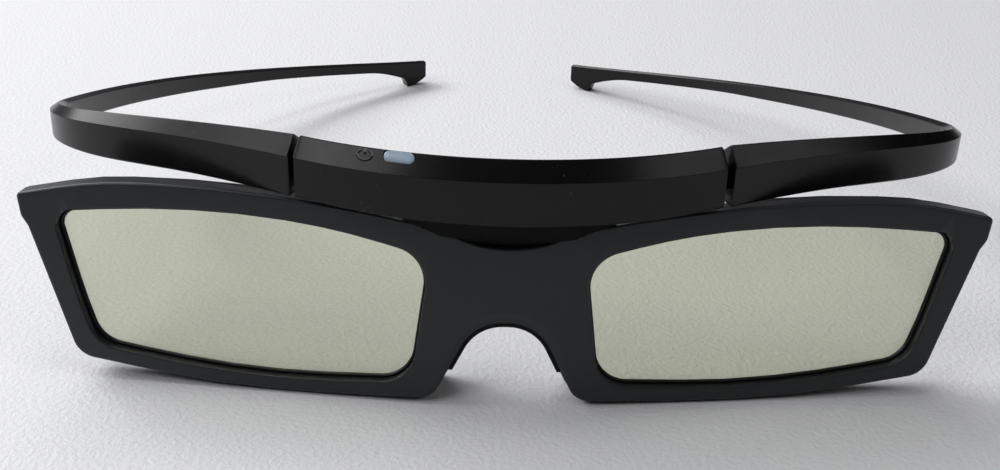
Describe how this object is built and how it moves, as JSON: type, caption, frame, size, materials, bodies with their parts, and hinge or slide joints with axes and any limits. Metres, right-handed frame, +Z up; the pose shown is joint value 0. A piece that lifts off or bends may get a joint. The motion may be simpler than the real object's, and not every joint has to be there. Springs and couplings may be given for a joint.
{
  "type": "3d glasses",
  "caption": "Shutter 3d glasses with flat grey-green lenses in a black frame, a curved brow bar with a power key, and plug-in horseshoe arms.",
  "frame": {"origin": "on the table under the middle of the glasses' box", "axes": "+Z up, +Y from the lenses to the arm tips, +X to the wearer's left"},
  "size_m": [0.1752, 0.1713, 0.0461],
  "materials": {
    "frame_black": "satin moulded black",
    "cover_black": "fine textured black",
    "brow_black": "satin moulded black",
    "arm_black": "satin moulded black",
    "lens_glass": "grey-green shutter glass",
    "lens_film": "polarising film",
    "nose_rubber": "soft matt black",
    "seal_rubber": "soft matt black",
    "flex_amber": "polyimide flex",
    "board_green": "solder mask",
    "chip_black": "moulded package",
    "bright_metal": "plated metal",
    "coil_grey": "ferrite",
    "capacitor_tan": "ceramic",
    "led_white": "clear lens",
    "key_pale": "milky pale blue",
    "contact_gold": "plated spring brass",
    "screw_steel": "dark steel"
  },
  "bodies": {
    "front": {"front_frame": "frame_black", "rear_frame": "cover_black", "left_lens_cell": "lens_glass", "right_lens_cell": "lens_glass", "left_front_polariser": "lens_film", "right_front_polariser": "lens_film", "left_rear_polariser": "lens_film", "right_rear_polariser": "lens_film", "left_lens_gasket": "seal_rubber", "right_lens_gasket": "seal_rubber", "left_lens_flex": "flex_amber", "right_lens_flex": "flex_amber", "brow_front": "brow_black", "brow_rear": "cover_black", "main_board": "board_green", "radio_chip": "chip_black", "lens_driver_chip": "chip_black", "crystal": "bright_metal", "boost_coil": "coil_grey", "board_capacitors": "capacitor_tan", "status_led": "led_white", "tact_switch": "bright_metal", "battery": "bright_metal", "battery_positive_contact": "contact_gold", "battery_negative_contact": "contact_gold", "case_screws": "screw_steel", "brow_screws": "screw_steel"},
    "left_arm": {"left_arm": "arm_black"},
    "right_arm": {"right_arm": "arm_black"},
    "power_key": {"power_key": "key_pale", "switch_plunger": "chip_black"},
    "battery_cover": {"battery_cover": "cover_black", "cover_seal": "seal_rubber"},
    "nose_piece": {"nose_piece": "nose_rubber"}
  },
  "joints": [
    {"name": "left_arm_plug", "type": "slide", "parent": "front", "child": "left_arm", "axis": [-0.9037, 0.4282, 0], "range_m": [-0.0006, 0.007]},
    {"name": "right_arm_plug", "type": "slide", "parent": "front", "child": "right_arm", "axis": [0.9037, 0.4282, 0], "range_m": [-0.0012, 0.007]},
    {"name": "key_press", "type": "slide", "parent": "front", "child": "power_key", "axis": [0, 0, -1], "range_m": [0, 0.0003], "stiffness_N_per_m": 3000, "springref_m": -0.0002},
    {"name": "cover_turn", "type": "hinge", "parent": "front", "child": "battery_cover", "pos_m": [0, -0.07304, 0.02549], "axis": [0, 0.9848, -0.1736], "range_deg": [0, 43]},
    {"name": "nose_pull", "type": "slide", "parent": "front", "child": "nose_piece", "axis": [0, 0.9848, -0.1736], "range_m": [0, 0.006]}
  ]
}
